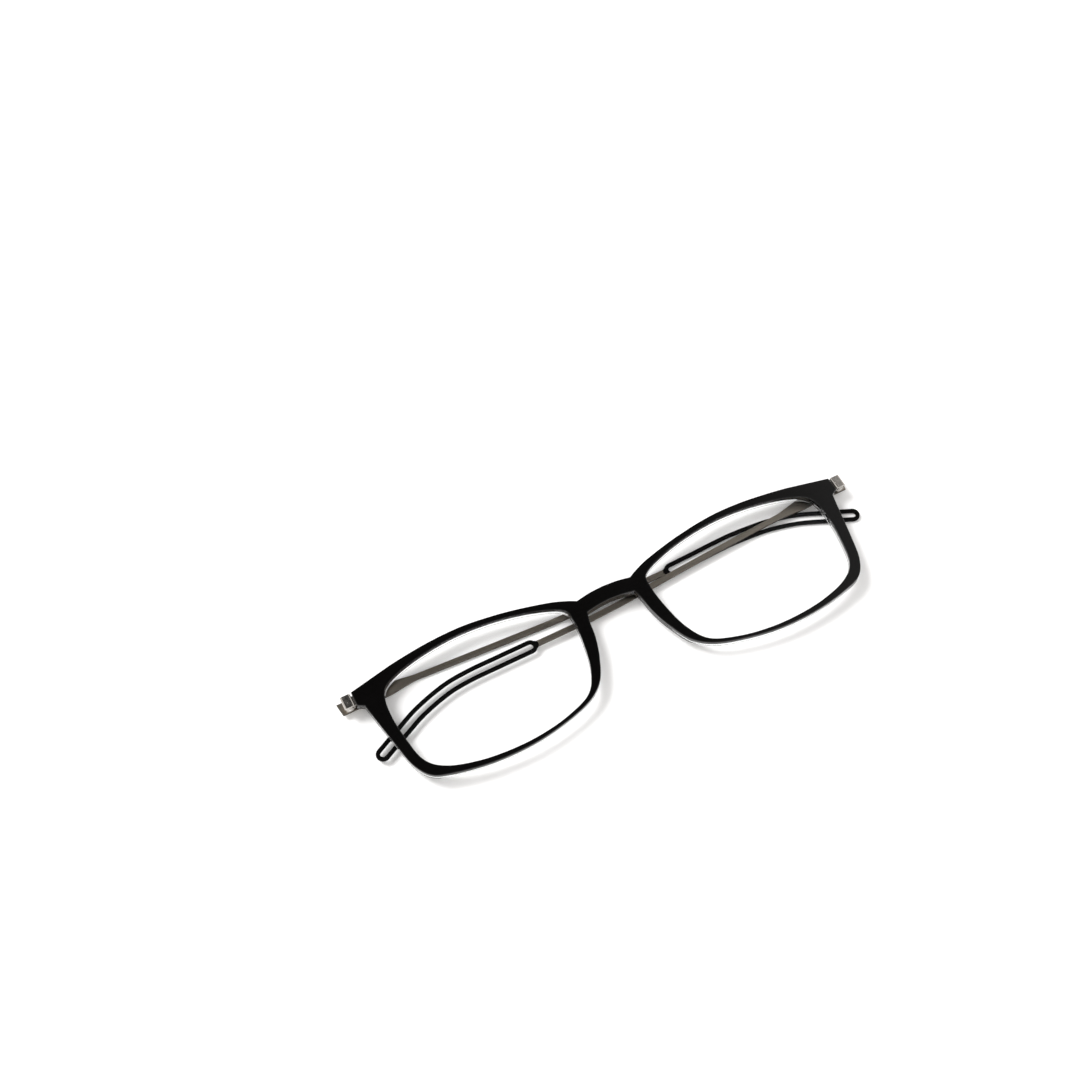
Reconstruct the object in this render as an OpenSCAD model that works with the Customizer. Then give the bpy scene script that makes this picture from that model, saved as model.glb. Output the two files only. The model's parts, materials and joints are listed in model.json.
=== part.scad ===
// Folding reading glasses, lying folded with the front face up.
// X runs along the front, +Y points to its top edge and +Z is up. The origin is the middle of the
// folded glasses on the surface that they lie on. "Left" is the -X side and "right" the +X side.
// The right temple folds first and lies between the lenses and the left one, which lies lowest.

/* [Front] */
// Width of the front over its two end lugs
front_w = 138.6; // [126.6:1:146.6]
// Height of the front from its bottom to its top edge
front_h = 36.9; // [33.4:0.5:40.4]
// Thickness of the black face layer
face_t = 1; // [0.8:0.1:1.2]
// Thickness of the clear rear layer
rear_t = 1.4; // [1.3:0.1:1.8]

/* [Lenses] */
// Radius of the domed front surface of a lens
dome_r = 600; // [600:20:1200]
// Depth that the lens edge sits in the groove around the opening
groove = 0.5; // [0.3:0.1:0.6]
// Side clearance of a lens in its groove
lens_play = 0.05; // [0.02:0.01:0.1]

/* [Temples] */
// Thickness of the steel temple strip
strip_t = 0.5; // [0.4:0.1:0.6]
// Width of the strip along most of its length
strip_w = 1.6; // [1.4:0.1:2]
// Width of the strip at its hinge end
leaf_w = 3.4; // [3:0.1:3.6]
// Overall width of the ear loop
loop_w = 3.7; // [3.5:0.1:4.2]
// Width of the long slot in the ear loop
slot_w = 1.5; // [1.2:0.1:1.6]
// Thickness of the ear loop
loop_t = 1.1; // [1:0.1:1.3]
// Diameter of the square wire that stiffens the ear loop
wire_d = 0.5; // [0.4:0.1:0.6]

/* [Hinges] */
// Radius of the hinge pin
pin_r = 0.45; // [0.4:0.05:0.5]
// Radial clearance of the knuckle on the pin
pin_play = 0.05; // [0.02:0.01:0.08]
// Outer radius of the hinge knuckle
barrel_r = 0.95; // [0.9:0.05:1]
// Distance from the lug's end to the pin
hinge_reach = 1.8; // [1.8:0.1:2.6]
// Height of the hinge's middle above the middle of the front
hinge_y = 12.5; // [12:0.1:12.8]

/* [Stacking] */
// Gap between the two folded temples
nest_gap = 0.25; // [0.2:0.05:0.5]
// Gap between the upper folded temple and the front
front_gap = 0.35; // [0.3:0.05:0.6]

/* [Hidden] */

$fn = 64;
eps = 0.01;
steps = 8;               // segments between two points of a smooth line
design_w = 138.6;        // the outlines below are drawn for this width
design_h = 36.9;         // and this height
mid_y = 0.2;             // where the middle of that height lies in the outlines and temple lines
sx = front_w / design_w;
sy = front_h / design_h;

// Heights of the stack, from the surface that the glasses lie on
left_z = loop_t / 2;
right_z = loop_t + nest_gap + strip_t / 2;
rear_z = right_z + loop_t / 2 + front_gap;
face_z = rear_z + rear_t;
top_z = face_z + face_t;

// Outline of the right half of the front, from the middle of the bridge's top edge round to the
// middle of its underside. Each list is one smooth stretch, and the corners lie between them.
bridge_top = [[0, 12.75], [4, 12.5], [7.7, 11.85]];
rim_top = [[7.7, 11.85], [10.1, 13.05], [14.6, 14.7], [24, 16.95], [33, 18.3], [40, 18.65],
    [48, 18.2], [58, 16.8], [69.3, 14.4]];
lug_corner = [[69.3, 10.45]];
rim_side = [[67.65, 9.5], [66.5, 3.7], [65, -4], [63.4, -10.25], [60.5, -14.4], [55.5, -16.25],
    [48.2, -17.7], [41, -18.25], [33, -17.95], [24.4, -16.4], [17.4, -14.1], [12.85, -10.55],
    [10, -5], [8.25, 0.4], [7.5, 5.2]];
bridge_under = [[6.75, 7.8], [3.5, 8.35], [0, 8.6]];

// Outline of the right lens opening
opening = [[11.1, 7.5], [12.3, 11.1], [19.4, 14.1], [29, 16.15], [38.9, 16.8], [48.6, 15.9],
    [56.9, 13.85], [61.6, 11], [62.85, 5], [62.2, -3], [60.5, -9.95], [56.2, -13.75],
    [48.5, -16.1], [40, -17], [32, -16.75], [24.3, -15.35], [17.2, -12.5], [13.6, -7], [11.75, 0.5]];

// Middle line of each temple: distance in from the hinge pin, then height above the front's middle.
// The two differ a little because each temple has been bent by hand to its own fold.
left_line = [[0, 12.5], [8, 12.8], [14, 12.95], [21, 12.75], [36, 12.1], [50, 11.3], [64, 11],
    [78, 10.95], [90.8, 10.95], [98, 11.25], [104, 11.55], [110, 11.7], [116, 11.4], [121, 10.85],
    [128.3, 9.1], [135.8, 6.15], [142.1, 3.6]];
right_line = [[0, 12.5], [8, 12.35], [20, 11.4], [36, 10.35], [50, 9.25], [64, 7.95], [76, 7.2],
    [86, 7], [94.6, 6.95], [104, 6.85], [112, 6.7], [118.8, 5.85], [127, 3.3], [134, -0.1],
    [139.6, -2.9]];
left_loop_at = 8;        // index of the point at which the loop starts
right_loop_at = 8;
shoulder_s = 11.5;       // distance from the pin at which the wide hinge end starts to narrow
narrow_s = 18;           // and the distance at which the strip has its narrow width
neck_out = 0.5;          // how far the ear loop's neck reaches out along the strip
neck_w = strip_w + 0.6;   // the strip's width and the rubber on both sides of it

// Hinge
lug_end = front_w / 2;
pin_x = lug_end + hinge_reach;
leaf_z = right_z;
leaf_gap = 1.42;         // from the pin's axis to the face of the leaf, folded or open
pin_z = leaf_z + strip_t / 2 + leaf_gap;
cap_in = 1.4;            // reach of the hinge block from the pin towards the lug
cap_out = 1.3;           // and away from it
cap_r = 0.5;             // rounding of the block's two long top edges
cap_t = 0.6;
block_w = 3.5;
ear_t = 0.75;
ear_r = 1;
ear_web = 1.2;           // width of the web between an ear and the cap
riser_t = 0.3;
washer_t = 0.15;
washer_play = 0.03;
leaf_out = 2.3;          // how far the strip's end reaches out past the pin
leaf_slant = 0.25;       // slant of that end over half its width
bend_s = [3.5, 9.5];     // where a strip bends down from the hinge to its own level
plate_l = 5.2;           // part of the bracket plate that lies inside the lug
plate_w = 2.6;
plate_t = 0.6;
rivet_r = 0.5;
rivet_s = [1.4, 3.6];    // distances of the rivets in from the lug's end
ledge_t = 0.4;           // lip of the rear layer behind the lens edge
dome_top = 0.2;          // how far the middle of a lens lies under the face

// ---- Curves ----

// Point between p1 and p2 on a smooth line that also passes p0 and p3
function blend(p0, p1, p2, p3, t) =
    0.5 * (2 * p1 + (p2 - p0) * t + (2 * p0 - 5 * p1 + 4 * p2 - p3) * t * t
    + (3 * p1 - p0 - 3 * p2 + p3) * t * t * t);

// Smooth line through all the points of p, from the first to the last
function smooth(p) = let (n = len(p)) [
    for (i = [0 : n - 2], k = [0 : steps - 1])
        blend(i > 0 ? p[i - 1] : 2 * p[0] - p[1], p[i], p[i + 1],
            i < n - 2 ? p[i + 2] : 2 * p[n - 1] - p[n - 2], k / steps),
    p[n - 1]];

// Smooth closed line through all the points of p
function smooth_ring(p) = let (n = len(p)) [
    for (i = [0 : n - 1], k = [0 : steps - 1])
        blend(p[(i + n - 1) % n], p[i], p[(i + 1) % n], p[(i + 2) % n], k / steps)];

// Unit normals to the left of an open line
function normals(p) = let (n = len(p)) [
    for (i = [0 : n - 1])
        let (d = p[min(i + 1, n - 1)] - p[max(i - 1, 0)])
        [-d[1], d[0]] / norm(d)];

// Closed clockwise line moved outwards by d
function grown(p, d) = let (n = len(p)) [
    for (i = [0 : n - 1])
        let (v = p[(i + 1) % n] - p[(i + n - 1) % n])
        p[i] + d * [-v[1], v[0]] / norm(v)];

function reversed(p) = [for (i = [len(p) - 1 : -1 : 0]) p[i]];

function arc(centre, r, a0, a1, n = 12) = [
    for (i = [1 : n - 1])
        let (a = a0 + (a1 - a0) * i / n)
        centre + r * [cos(a), sin(a)]];

// Band of width w along an open line, with round ends
function band(p, w) = let (
        n = normals(p),
        m = len(p) - 1,
        first = atan2(n[0][1], n[0][0]),
        last = atan2(n[m][1], n[m][0])) concat(
    [for (i = [0 : m]) p[i] + w / 2 * n[i]],
    arc(p[m], w / 2, last, last - 180),
    reversed([for (i = [0 : m]) p[i] - w / 2 * n[i]]),
    arc(p[0], w / 2, first - 180, first - 360));

half_outline = [for (p = concat(smooth(bridge_top), smooth(rim_top), lug_corner,
        smooth(rim_side), smooth(bridge_under))) [p[0] * sx, (p[1] - mid_y) * sy]];
opening_line = [for (p = smooth_ring(opening)) [p[0] * sx, (p[1] - mid_y) * sy]];
lens_middle = [37 * sx, 0];

// Section of the domed front of a lens, from its axis outwards
dome_reach = 36 * max(sx, sy);
dome_rings = 16;
dome_profile = concat([[dome_reach, rear_z], [0, rear_z]], [
    for (i = [0 : dome_rings])
        let (r = dome_reach * i / dome_rings)
        [r, top_z - dome_top - dome_r + sqrt(dome_r * dome_r - r * r)]]);

// ---- Temple lines, with the pin at the origin of the first number ----

function line_of(side) = side < 0 ? left_line : right_line;
function loop_at(side) = side < 0 ? left_loop_at : right_loop_at;
function level(side) = side < 0 ? left_z : right_z;
function strip_line(side) = let (p = line_of(side), at = loop_at(side))
    smooth([for (i = [0 : at]) p[i]]);
function loop_line(side) = let (p = line_of(side), at = loop_at(side))
    smooth([for (i = [at : len(p) - 1]) p[i]]);
function loop_start(side) = line_of(side)[loop_at(side)][0] - loop_w / 2;
function neck_line(side) = let (
        p = strip_line(side),
        last = p[len(p) - 1],
        d = last - p[len(p) - 2])
    [last - (loop_w / 2 - neck_w / 2 + neck_out) * d / norm(d), last];
function strip_end(side) = loop_start(side) + (loop_w - slot_w) / 4 - wire_d / 2 - eps;
function width_at(s) = lookup(s, [[0, leaf_w], [shoulder_s, leaf_w], [narrow_s, strip_w]]);

// ---- Placing ----

// Turns a temple's own plan, drawn inwards from the pin, to its side of the front
module on_side(side) {
    if (side < 0) {
        translate([-pin_x, -mid_y, 0]) children();
    }
    else {
        translate([pin_x, -mid_y, 0]) mirror([1, 0, 0]) children();
    }
}

// Solid with its long axis along Y, centred on the hinge
module at_pin(length, r) {
    translate([0, hinge_y, pin_z]) rotate([90, 0, 0]) cylinder(h = length, r = r, center = true);
}

// ---- Front ----

module front_plan() {
    polygon(concat(half_outline, reversed([for (p = half_outline) [-p[0], p[1]]])));
}

module opening_plan(side, d) {
    line = grown(opening_line, d);
    polygon(side > 0 ? line : [for (p = line) [-p[0], p[1]]]);
}

module front_face() {
    color([0.03, 0.03, 0.03]) difference() {
        translate([0, 0, face_z]) linear_extrude(face_t) front_plan();
        for (side = [-1, 1]) {
            translate([0, 0, face_z - 1]) linear_extrude(face_t + 2) opening_plan(side, 0);
        }
    }
}

module front_rear() {
    color([0.85, 0.87, 0.88, 0.5]) difference() {
        translate([0, 0, rear_z]) linear_extrude(rear_t) front_plan();
        for (side = [-1, 1]) {
            translate([0, 0, rear_z - 1]) linear_extrude(rear_t + 2) opening_plan(side, 0);
            translate([0, 0, rear_z + ledge_t]) linear_extrude(rear_t) opening_plan(side, groove);
            on_side(side) translate([0, hinge_y - plate_w / 2, face_z - plate_t]) {
                cube([hinge_reach + plate_l, plate_w, plate_t + 1]);
            }
            rivet_shanks(side);
        }
    }
}

module rivet_shanks(side) {
    on_side(side) for (s = rivet_s) {
        translate([hinge_reach + s, hinge_y, rear_z - eps]) cylinder(h = rear_t + eps, r = rivet_r);
    }
}

module lens(side) {
    color([0.9, 0.95, 0.97, 0.25]) union() {
        translate([0, 0, rear_z + ledge_t]) linear_extrude(rear_t - ledge_t - lens_play) {
            opening_plan(side, groove - lens_play);
        }
        intersection() {
            translate([0, 0, face_z - 2 * lens_play]) linear_extrude(face_t) {
                opening_plan(side, -lens_play);
            }
            translate([side * lens_middle[0], lens_middle[1], 0]) {
                rotate_extrude() polygon(dome_profile);
            }
        }
    }
}

// ---- Hinges ----

// Section of the hinge block's cap, with both top edges rounded
module cap_section() {
    square_h = cap_t - cap_r;
    translate([-cap_out, top_z - cap_t]) square([cap_out + cap_in, square_h]);
    translate([-cap_out + cap_r, top_z - cap_t]) square([cap_out + cap_in - 2 * cap_r, cap_t]);
    for (x = [-cap_out + cap_r, cap_in - cap_r]) {
        intersection() {
            translate([x, top_z - cap_r]) circle(cap_r);
            translate([x - cap_r, top_z - cap_r]) square([2 * cap_r, cap_r]);
        }
    }
}

module bracket(side) {
    color([0.72, 0.70, 0.67]) difference() {
        on_side(side) union() {
            // plate in the lug and the neck that comes out of it
            translate([cap_in - riser_t, hinge_y - plate_w / 2, face_z - plate_t]) {
                cube([hinge_reach - cap_in + riser_t + plate_l, plate_w, plate_t]);
            }
            // cap, level with the black face
            translate([0, hinge_y + block_w / 2, 0]) rotate([90, 0, 0]) {
                linear_extrude(block_w) cap_section();
            }
            // wall towards the lug
            translate([cap_in - riser_t, hinge_y - block_w / 2, face_z - plate_t]) {
                cube([riser_t, block_w, top_z - cap_r - face_z + plate_t]);
            }
            for (end = [-1, 1]) {
                translate([0, end * (block_w - ear_t) / 2, 0]) {
                    at_pin(ear_t, ear_r);
                    translate([-ear_web / 2, hinge_y - ear_t / 2, pin_z]) {
                        cube([ear_web, ear_t, top_z - cap_t / 2 - pin_z]);
                    }
                }
            }
        }
        on_side(side) at_pin(block_w + 1, pin_r);
        rivet_shanks(side);
    }
}

module bracket_rivets(side) {
    color([0.65, 0.63, 0.60]) on_side(side) for (s = rivet_s) {
        translate([hinge_reach + s, hinge_y, rear_z]) cylinder(h = rear_t, r = rivet_r);
    }
}

module hinge_pin(side) {
    color([0.78, 0.76, 0.72]) on_side(side) at_pin(block_w + 0.2, pin_r);
}

module hinge_washers(side) {
    color([0.80, 0.72, 0.55]) on_side(side) for (end = [-1, 1]) {
        translate([0, end * (block_w / 2 - ear_t - washer_t / 2), 0]) difference() {
            at_pin(washer_t, barrel_r);
            at_pin(washer_t + 1, pin_r + pin_play);
        }
    }
}

// ---- Temples ----

module strip_plan(side) {
    whole = strip_line(side);
    line = concat([for (p = whole) if (p[0] < strip_end(side) - 0.1) p],
        [[strip_end(side), lookup(strip_end(side), whole)]]);
    n = normals(line);
    polygon(concat([[-leaf_out - leaf_slant, hinge_y + leaf_w / 2]],
        [for (i = [0 : len(line) - 1]) line[i] + width_at(line[i][0]) / 2 * n[i]],
        reversed([for (i = [0 : len(line) - 1]) line[i] - width_at(line[i][0]) / 2 * n[i]]),
        [[-leaf_out + leaf_slant, hinge_y - leaf_w / 2]]));
}

// Side view of the strip: level at the hinge, then bent down to the level at which it folds
module strip_profile(side) {
    low = level(side);
    path = [[-leaf_out - 1, leaf_z], [bend_s[0], leaf_z], [bend_s[1], low], [160, low]];
    half = [0, strip_t / 2];
    polygon(concat([for (p = path) p + half], reversed([for (p = path) p - half])));
}

module strip_solid(side) {
    on_side(side) intersection() {
        linear_extrude(top_z) strip_plan(side);
        translate([0, 40, 0]) rotate([90, 0, 0]) linear_extrude(60) strip_profile(side);
    }
}

module temple_strip(side) {
    color([0.50, 0.46, 0.41]) strip_solid(side);
}

module temple_knuckle(side) {
    width = block_w - 2 * (ear_t + washer_t + washer_play);
    color([0.70, 0.60, 0.45]) on_side(side) difference() {
        union() {
            at_pin(width, barrel_r);
            translate([-barrel_r, hinge_y - width / 2, leaf_z + strip_t / 2]) {
                cube([2 * barrel_r, width, leaf_gap]);
            }
        }
        at_pin(width + 1, pin_r + pin_play);
    }
}

module wire_solid(side) {
    middle_w = (loop_w + slot_w) / 2;
    line = loop_line(side);
    on_side(side) translate([0, 0, level(side) - wire_d / 2]) linear_extrude(wire_d) difference() {
        polygon(band(line, middle_w + wire_d));
        polygon(band(line, middle_w - wire_d));
    }
}

module loop_wire(side) {
    color([0.55, 0.53, 0.50]) wire_solid(side);
}

module temple_tip(side) {
    line = loop_line(side);
    color([0.02, 0.02, 0.02]) difference() {
        on_side(side) translate([0, 0, level(side) - loop_t / 2]) linear_extrude(loop_t) {
            difference() {
                union() {
                    polygon(band(line, loop_w));
                    polygon(band(neck_line(side), neck_w));
                }
                polygon(band(line, slot_w));
            }
        }
        strip_solid(side);
        wire_solid(side);
    }
}

front_face();
front_rear();
lens(-1);  // lens_left
lens(1);  // lens_right
bracket(-1);  // bracket_left
bracket(1);  // bracket_right
bracket_rivets(-1);  // bracket_rivets_left
bracket_rivets(1);  // bracket_rivets_right
hinge_pin(-1);  // hinge_pin_left
hinge_pin(1);  // hinge_pin_right
hinge_washers(-1);  // hinge_washers_left
hinge_washers(1);  // hinge_washers_right
temple_strip(-1);  // temple_strip_left
temple_strip(1);  // temple_strip_right
temple_knuckle(-1);  // temple_knuckle_left
temple_knuckle(1);  // temple_knuckle_right
loop_wire(-1);  // loop_wire_left
loop_wire(1);  // loop_wire_right
temple_tip(-1);  // temple_tip_left
temple_tip(1);  // temple_tip_right
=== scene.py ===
"""Looks of the folding reading glasses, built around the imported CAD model. Lengths are in metres."""

import json
import math

import bmesh
import bpy
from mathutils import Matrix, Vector


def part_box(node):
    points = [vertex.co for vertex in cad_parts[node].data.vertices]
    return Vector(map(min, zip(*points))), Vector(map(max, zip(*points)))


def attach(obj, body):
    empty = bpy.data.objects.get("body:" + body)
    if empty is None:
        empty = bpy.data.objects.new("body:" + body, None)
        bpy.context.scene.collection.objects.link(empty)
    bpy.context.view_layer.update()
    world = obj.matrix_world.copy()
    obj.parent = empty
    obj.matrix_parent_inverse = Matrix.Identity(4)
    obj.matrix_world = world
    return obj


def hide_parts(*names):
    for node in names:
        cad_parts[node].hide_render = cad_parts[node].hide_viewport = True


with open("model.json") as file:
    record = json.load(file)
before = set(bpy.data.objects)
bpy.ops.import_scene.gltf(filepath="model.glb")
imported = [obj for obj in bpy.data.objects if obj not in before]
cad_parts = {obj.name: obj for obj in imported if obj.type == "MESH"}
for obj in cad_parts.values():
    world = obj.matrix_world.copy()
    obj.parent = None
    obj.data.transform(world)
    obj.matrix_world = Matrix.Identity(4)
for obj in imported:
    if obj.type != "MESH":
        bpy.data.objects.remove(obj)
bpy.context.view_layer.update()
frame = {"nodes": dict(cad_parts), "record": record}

MM = 0.001

# ---------------------------------------------------------------- camera

VIEW_AZIMUTH = -26.83      # degrees, turned from looking along +Y
VIEW_ELEVATION = 59.80     # degrees above the floor
VIEW_DISTANCE = 0.4043
LENS_MM = 51.67
SENSOR_MM = 36.0
AIM_LEFT = 0.0080          # the picture's middle lies this far to the left of the bridge
AIM_ABOVE = 0.0319         # and this far above the middle of the front

TOP_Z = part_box("front_face")[1].z
REAR_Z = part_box("front_rear")[0].z


def add_camera():
    azimuth, elevation = math.radians(VIEW_AZIMUTH), math.radians(VIEW_ELEVATION)
    back = Vector((math.sin(azimuth) * math.cos(elevation),
                   -math.cos(azimuth) * math.cos(elevation),
                   math.sin(elevation)))
    aim = Vector((-AIM_LEFT, AIM_ABOVE, TOP_Z))
    data = bpy.data.cameras.new("camera")
    data.lens = LENS_MM
    data.sensor_width = SENSOR_MM
    data.clip_start = 0.01
    camera = bpy.data.objects.new("camera", data)
    camera.location = aim + back * VIEW_DISTANCE
    camera.rotation_euler = back.to_track_quat("Z", "Y").to_euler()
    bpy.context.scene.collection.objects.link(camera)
    bpy.context.scene.camera = camera


# ---------------------------------------------------------------- floor and light

FLOOR_SIZE = 40.0
FLOOR_TONE = 0.92
FLOOR_ROUGHNESS = 0.9
FLOOR_SHEEN = 0.1
DARK_PATCH = (0.13, 0.42, 0.89)    # towards this the surroundings are dark
PATCH_CORE = 7.0                   # degrees from its middle that are fully dark
PATCH_EDGE = 26.0                  # degrees from its middle where the white begins
SKY_DARK = 0.02
SKY_LIGHT = 1.05
SKY_COLOUR = (1.0, 0.985, 0.97, 1)
KEY_PLACE = (-0.7, 0.9, 1.3)
KEY_SIZE = 0.7
KEY_WATTS = 27


def add_floor():
    half = FLOOR_SIZE / 2
    mesh = bpy.data.meshes.new("floor")
    mesh.from_pydata([(-half, -half, 0), (half, -half, 0), (half, half, 0), (-half, half, 0)],
                     [], [(0, 1, 2, 3)])
    floor = bpy.data.objects.new("floor", mesh)
    bpy.context.scene.collection.objects.link(floor)
    material, shader, _ = new_material("floor_paper")
    shader.inputs["Base Color"].default_value = (FLOOR_TONE, FLOOR_TONE, FLOOR_TONE, 1)
    shader.inputs["Roughness"].default_value = FLOOR_ROUGHNESS
    shader.inputs["Specular IOR Level"].default_value = FLOOR_SHEEN
    mesh.materials.append(material)


def add_key():
    """Square soft light that faces the middle of the glasses and isn't mirrored in them."""
    data = bpy.data.lights.new("key", "AREA")
    data.shape = "SQUARE"
    data.size = KEY_SIZE
    data.energy = KEY_WATTS
    key = bpy.data.objects.new("key", data)
    key.location = KEY_PLACE
    key.rotation_euler = Vector(KEY_PLACE).to_track_quat("Z", "Y").to_euler()
    key.visible_glossy = False
    bpy.context.scene.collection.objects.link(key)


def add_sky():
    """White surroundings with one dark patch overhead, which the flat polished face mirrors."""
    world = bpy.data.worlds.new("studio")
    world.use_nodes = True
    tree = world.node_tree
    direction = tree.nodes.new("ShaderNodeTexCoord")
    closeness = tree.nodes.new("ShaderNodeVectorMath")
    closeness.operation = "DOT_PRODUCT"
    closeness.inputs[1].default_value = Vector(DARK_PATCH).normalized()
    ramp = tree.nodes.new("ShaderNodeMapRange")
    ramp.interpolation_type = "SMOOTHSTEP"
    ramp.inputs["From Min"].default_value = math.cos(math.radians(PATCH_EDGE))
    ramp.inputs["From Max"].default_value = math.cos(math.radians(PATCH_CORE))
    ramp.inputs["To Min"].default_value = SKY_LIGHT
    ramp.inputs["To Max"].default_value = SKY_DARK
    background = tree.nodes["Background"]
    background.inputs["Color"].default_value = SKY_COLOUR
    tree.links.new(direction.outputs["Generated"], closeness.inputs[0])
    tree.links.new(closeness.outputs["Value"], ramp.inputs["Value"])
    tree.links.new(ramp.outputs["Result"], background.inputs["Strength"])
    bpy.context.scene.world = world


def add_light():
    add_sky()
    add_key()
    bpy.context.scene.view_settings.view_transform = "Standard"


# ---------------------------------------------------------------- material tools

def new_material(name):
    material = bpy.data.materials.new(name)
    material.use_nodes = True
    tree = material.node_tree
    shader = tree.nodes["Principled BSDF"]
    return material, shader, tree


def position(tree, stretch=(1, 1, 1), turn=0.0):
    """Object position, stretched and turned about Z, which textures read in metres."""
    place = tree.nodes.new("ShaderNodeTexCoord")
    mapping = tree.nodes.new("ShaderNodeMapping")
    mapping.vector_type = "POINT"
    mapping.inputs["Scale"].default_value = stretch
    mapping.inputs["Rotation"].default_value = (0, 0, turn)
    tree.links.new(place.outputs["Object"], mapping.inputs["Vector"])
    return mapping.outputs["Vector"]


def noise(tree, vector, scale, detail, roughness=0.55):
    node = tree.nodes.new("ShaderNodeTexNoise")
    node.inputs["Scale"].default_value = scale
    node.inputs["Detail"].default_value = detail
    node.inputs["Roughness"].default_value = roughness
    tree.links.new(vector, node.inputs["Vector"])
    return node.outputs["Fac"]


def remap(tree, value, low, high, from_low=0.3, from_high=0.7):
    node = tree.nodes.new("ShaderNodeMapRange")
    node.inputs["From Min"].default_value = from_low
    node.inputs["From Max"].default_value = from_high
    node.inputs["To Min"].default_value = low
    node.inputs["To Max"].default_value = high
    tree.links.new(value, node.inputs["Value"])
    return node.outputs["Result"]


def tint(tree, value, dark, light):
    node = tree.nodes.new("ShaderNodeMix")
    node.data_type = "RGBA"
    node.inputs["A"].default_value = (*dark, 1)
    node.inputs["B"].default_value = (*light, 1)
    tree.links.new(value, node.inputs["Factor"])
    return node.outputs["Result"]


def painted_shade_by_slope(tree, side_shade_colour, top_colour):
    """Painted shade: the side colour where the surface stands steep, the top colour where it lies
    almost level.
    """
    geometry = tree.nodes.new("ShaderNodeNewGeometry")
    split = tree.nodes.new("ShaderNodeSeparateXYZ")
    level = tree.nodes.new("ShaderNodeMath")
    level.operation = "ABSOLUTE"
    tree.links.new(geometry.outputs["True Normal"], split.inputs["Vector"])
    tree.links.new(split.outputs["Z"], level.inputs[0])
    node = tree.nodes.new("ShaderNodeMix")
    node.data_type = "RGBA"
    node.inputs["A"].default_value = (*side_shade_colour, 1)
    tree.links.new(top_colour, node.inputs["B"])
    tree.links.new(remap(tree, level.outputs["Value"], 0.0, 1.0, STEEP, LEVEL),
                   node.inputs["Factor"])
    return node.outputs["Result"]


def bump(tree, shader, height, depth):
    node = tree.nodes.new("ShaderNodeBump")
    node.inputs["Strength"].default_value = 1.0
    node.inputs["Distance"].default_value = depth
    tree.links.new(height, node.inputs["Height"])
    tree.links.new(node.outputs["Normal"], shader.inputs["Normal"])


# ---------------------------------------------------------------- materials

PLASTIC_IOR = 1.49

# Base colours: a darker and a lighter tone, which a texture mixes
BLACK_TONES = ((0.0010, 0.0009, 0.0009), (0.0022, 0.0020, 0.0020))
RUBBER_TONES = ((0.0005, 0.0005, 0.0005), (0.0015, 0.0015, 0.0015))
STRIP_TONES = ((0.22, 0.195, 0.162), (0.35, 0.318, 0.275))
# Painted shade: colour of the strip's steep side faces, darker than its top
STRIP_SIDE_SHADE = (0.05, 0.043, 0.036)
CLEAR_COLOUR = (0.97, 0.98, 0.985, 1)
LENS_COLOUR = (0.92, 0.96, 1.0, 1)

# Small metal pieces: darker tone, lighter tone, lowest and highest roughness
METALS = {
    "nickel": ((0.46, 0.435, 0.405), (0.54, 0.515, 0.485), (0.18, 0.28)),
    "pin_steel": ((0.62, 0.6, 0.57), (0.78, 0.76, 0.73), (0.12, 0.25)),
    "knuckle_brass": ((0.55, 0.42, 0.26), (0.72, 0.58, 0.4), (0.15, 0.3)),
    "washer": ((0.55, 0.45, 0.3), (0.7, 0.6, 0.42), (0.2, 0.35)),
    "wire_steel": ((0.4, 0.38, 0.35), (0.5, 0.48, 0.45), (0.2, 0.35)),
}

# How visible a lens is seen straight on and edge on, and how steeply that grows
LENS_HAZE = (0.01, 0.2)
LENS_GROWTH = 3.0

# Upward share of the normal below which the strip's painted side shade shows, and above which its top
# colour
STEEP = 0.75
LEVEL = 0.95

def black_gloss():
    """Polished black acetate with a faint cloudiness and fine handling marks."""
    material, shader, tree = new_material("black_gloss")
    cloud = noise(tree, position(tree), scale=90, detail=2)
    marks = noise(tree, position(tree, stretch=(1, 6, 1), turn=0.5), scale=700, detail=4)
    tree.links.new(tint(tree, cloud, *BLACK_TONES), shader.inputs["Base Color"])
    tree.links.new(remap(tree, marks, low=0.09, high=0.16), shader.inputs["Roughness"])
    shader.inputs["IOR"].default_value = PLASTIC_IOR
    bump(tree, shader, cloud, depth=0.004 * MM)
    return material


def clear_plastic():
    """Water-clear polished plastic."""
    material, shader, tree = new_material("clear_plastic")
    shader.inputs["Base Color"].default_value = CLEAR_COLOUR
    shader.inputs["Transmission Weight"].default_value = 1.0
    shader.inputs["IOR"].default_value = PLASTIC_IOR
    swirl = noise(tree, position(tree), scale=260, detail=3)
    tree.links.new(remap(tree, swirl, low=0.015, high=0.05), shader.inputs["Roughness"])
    return material


def lens_glass():
    """Coated clear lens: see-through, with a faint reflection that grows at low angles."""
    material, shader, tree = new_material("lens")
    shader.inputs["Base Color"].default_value = LENS_COLOUR
    shader.inputs["Metallic"].default_value = 1.0
    edge_on = tree.nodes.new("ShaderNodeLayerWeight")
    growth = tree.nodes.new("ShaderNodeMath")
    growth.operation = "POWER"
    growth.inputs[1].default_value = LENS_GROWTH
    tree.links.new(edge_on.outputs["Facing"], growth.inputs[0])
    tree.links.new(remap(tree, growth.outputs["Value"], *LENS_HAZE, 0.0, 1.0),
                   shader.inputs["Alpha"])
    smear = noise(tree, position(tree, stretch=(1, 2.5, 1)), scale=60, detail=3)
    tree.links.new(remap(tree, smear, low=0.02, high=0.07), shader.inputs["Roughness"])
    return material


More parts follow.
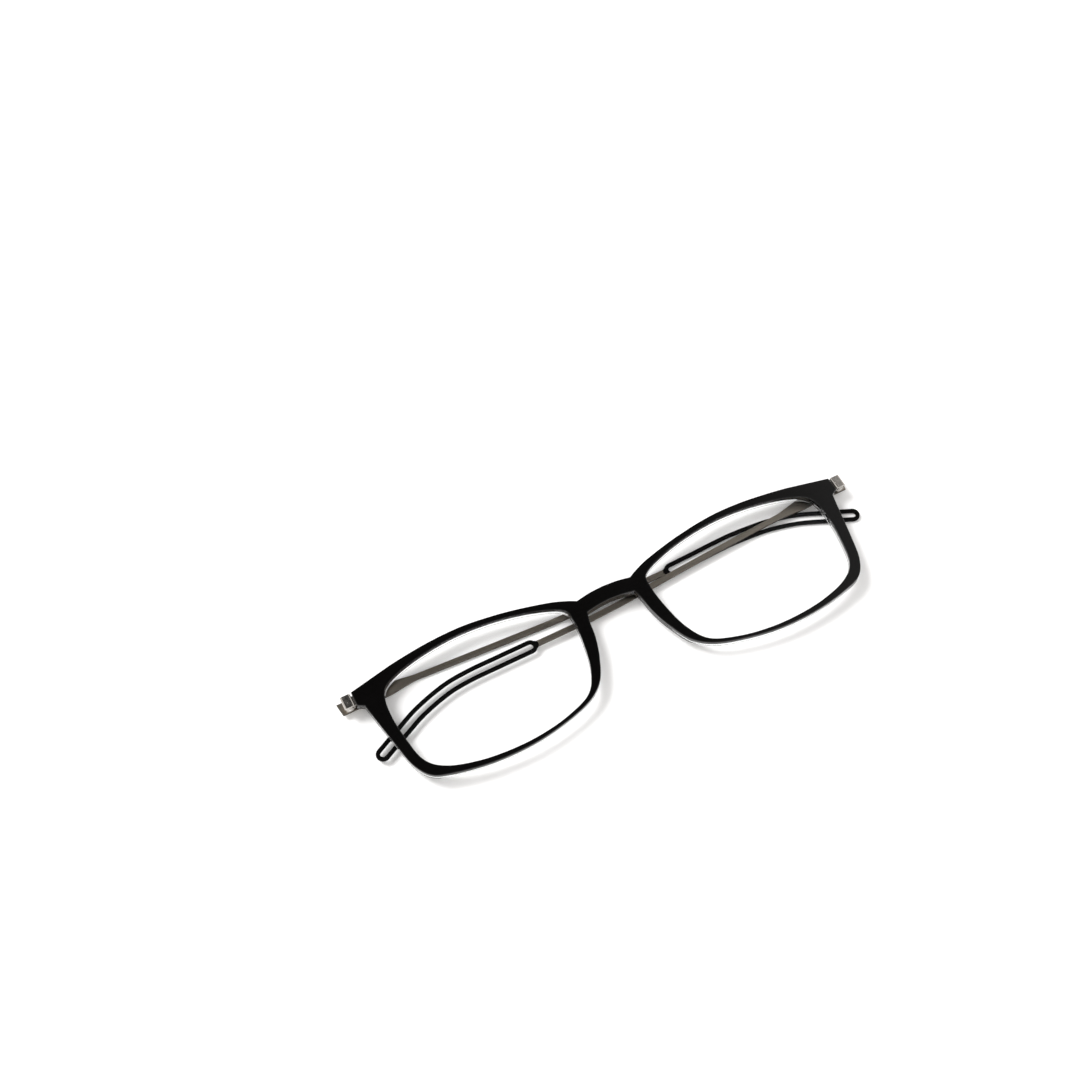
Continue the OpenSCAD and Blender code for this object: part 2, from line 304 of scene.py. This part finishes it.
def brushed_steel():
    """Stainless strip brushed along its length, with painted shade darkening its steep side faces."""
    material, shader, tree = new_material("strip_steel")
    fine = position(tree, stretch=(0.012, 1, 1))
    lines = noise(tree, fine, scale=9000, detail=4, roughness=0.7)
    tone = noise(tree, position(tree, stretch=(0.05, 1, 1)), scale=900, detail=2)
    top = tint(tree, tone, *STRIP_TONES)
    # Steep side faces get the darker colour as painted shade
    tree.links.new(painted_shade_by_slope(tree, STRIP_SIDE_SHADE, top), shader.inputs["Base Color"])
    shader.inputs["Metallic"].default_value = 1.0
    tree.links.new(remap(tree, lines, low=0.26, high=0.42), shader.inputs["Roughness"])
    shader.inputs["Anisotropic"].default_value = 0.5
    bump(tree, shader, lines, depth=0.004 * MM)
    return material


def polished_metal(name):
    """One of the small metal pieces' materials, with slightly cloudy polish."""
    dark, light, rough = METALS[name]
    material, shader, tree = new_material(name)
    cloud = noise(tree, position(tree), scale=1500, detail=3)
    tree.links.new(tint(tree, cloud, dark, light), shader.inputs["Base Color"])
    shader.inputs["Metallic"].default_value = 1.0
    tree.links.new(remap(tree, cloud, *rough), shader.inputs["Roughness"])
    bump(tree, shader, noise(tree, position(tree), scale=5000, detail=2), depth=0.002 * MM)
    return material


def tip_rubber():
    """Soft black overmould with a fine matt grain."""
    material, shader, tree = new_material("tip_rubber")
    grain = noise(tree, position(tree), scale=6000, detail=2)
    wear = noise(tree, position(tree), scale=300, detail=3)
    tree.links.new(tint(tree, wear, *RUBBER_TONES), shader.inputs["Base Color"])
    tree.links.new(remap(tree, wear, low=0.36, high=0.48), shader.inputs["Roughness"])
    shader.inputs["Specular IOR Level"].default_value = 0.05
    bump(tree, shader, grain, depth=0.01 * MM)
    return material


# ---------------------------------------------------------------- pieces

SAME_POINT = 0.0005 * MM
LEVEL_MARGIN = 0.01 * MM
FLAT_ANGLE = math.radians(1.5)      # faces that differ by less become one
CORNER_ANGLE = math.radians(35)     # edges that turn by more are rounded
CREASE_ANGLE = math.radians(32)     # and by more than this are shaded sharp
LARGE_FACES_FIRST = 100             # weight that keeps the large flat faces evenly shaded
FACE_ROUNDING = 0.16 * MM
REAR_ROUNDING = 0.35 * MM
LOOP_ROUNDING = 0.42 * MM

# Pieces with one on each side: node, material slot, rounding of the edges
PAIRS = [
    ("lens", "lens", 0),
    ("bracket", "nickel", 0.1 * MM),
    ("bracket_rivets", "pin_steel", 0.05 * MM),
    ("hinge_pin", "pin_steel", 0.08 * MM),
    ("hinge_washers", "washer", 0.02 * MM),
    ("temple_strip", "strip_steel", 0.07 * MM),
    ("temple_knuckle", "knuckle_brass", 0.05 * MM),
    ("loop_wire", "wire_steel", 0.05 * MM),
]


def edges_at(work, heights):
    """Gives a bevel weight to the corner edges that lie at one of the heights."""
    weight = work.edges.layers.float.new("bevel_weight_edge")
    for edge in work.edges:
        at_height = any(all(abs(v.co.z - height) < LEVEL_MARGIN for v in edge.verts)
                        for height in heights)
        if at_height and edge.calc_face_angle(0) > CORNER_ANGLE:
            edge[weight] = 1.0


def cleaned(node, material, heights):
    """Copy of a CAD node's mesh with whole flat faces."""
    mesh = frame["nodes"][node].data.copy()
    mesh.materials.clear()
    mesh.materials.append(material)
    work = bmesh.new()
    work.from_mesh(mesh)
    bmesh.ops.remove_doubles(work, verts=work.verts, dist=SAME_POINT)
    bmesh.ops.dissolve_limit(work, angle_limit=FLAT_ANGLE, verts=work.verts, edges=work.edges)
    if heights:
        edges_at(work, heights)
    work.to_mesh(mesh)
    work.free()
    return mesh


def round_edges(piece, width, segments, heights):
    rounding = piece.modifiers.new("rounding", "BEVEL")
    rounding.width = width
    rounding.segments = segments
    rounding.limit_method = "WEIGHT" if heights else "ANGLE"
    rounding.angle_limit = CORNER_ANGLE
    rounding.use_clamp_overlap = not heights


def refined(node, material, bevel, segments=3, heights=None):
    """Stands in for a CAD node: the same shape with rounded edges, all or only at the heights."""
    piece = bpy.data.objects.new(node + "_shown", cleaned(node, material, heights))
    bpy.context.scene.collection.objects.link(piece)
    if bevel:
        round_edges(piece, bevel, segments, heights)
    apply_modifiers(piece)
    shade(piece)
    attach(piece, body_of(node))
    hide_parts(node)


def apply_modifiers(piece):
    bpy.context.view_layer.update()
    graph = bpy.context.evaluated_depsgraph_get()
    shaped = bpy.data.meshes.new_from_object(piece.evaluated_get(graph))
    piece.modifiers.clear()
    piece.data = shaped


def shade(piece):
    """Smooth shading that stops at creases and leaves the large flat faces flat."""
    piece.data.shade_smooth()
    piece.data.set_sharp_from_angle(angle=CREASE_ANGLE)
    flat = piece.modifiers.new("flat", "WEIGHTED_NORMAL")
    flat.keep_sharp = True
    flat.weight = LARGE_FACES_FIRST
    apply_modifiers(piece)


def body_of(node):
    bodies = frame["record"]["behaviour"]["bodies"]
    return next(body for body, nodes in bodies.items() if node in nodes)


def build():
    materials = {
        "black_gloss": black_gloss(),
        "clear_plastic": clear_plastic(),
        "lens": lens_glass(),
        "strip_steel": brushed_steel(),
    }
    for name in METALS:
        materials[name] = polished_metal(name)
    rubber = tip_rubber()
    refined("front_face", materials["black_gloss"], FACE_ROUNDING, heights=[TOP_Z])
    refined("front_rear", materials["clear_plastic"], REAR_ROUNDING, 4, [REAR_Z])
    for side in ("left", "right"):
        for piece, slot, rounding in PAIRS:
            refined(f"{piece}_{side}", materials[slot], rounding)
        tip = "temple_tip_" + side
        low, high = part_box(tip)
        refined(tip, rubber, LOOP_ROUNDING, 5, [low.z, high.z])


add_camera()
add_floor()
add_light()
build()
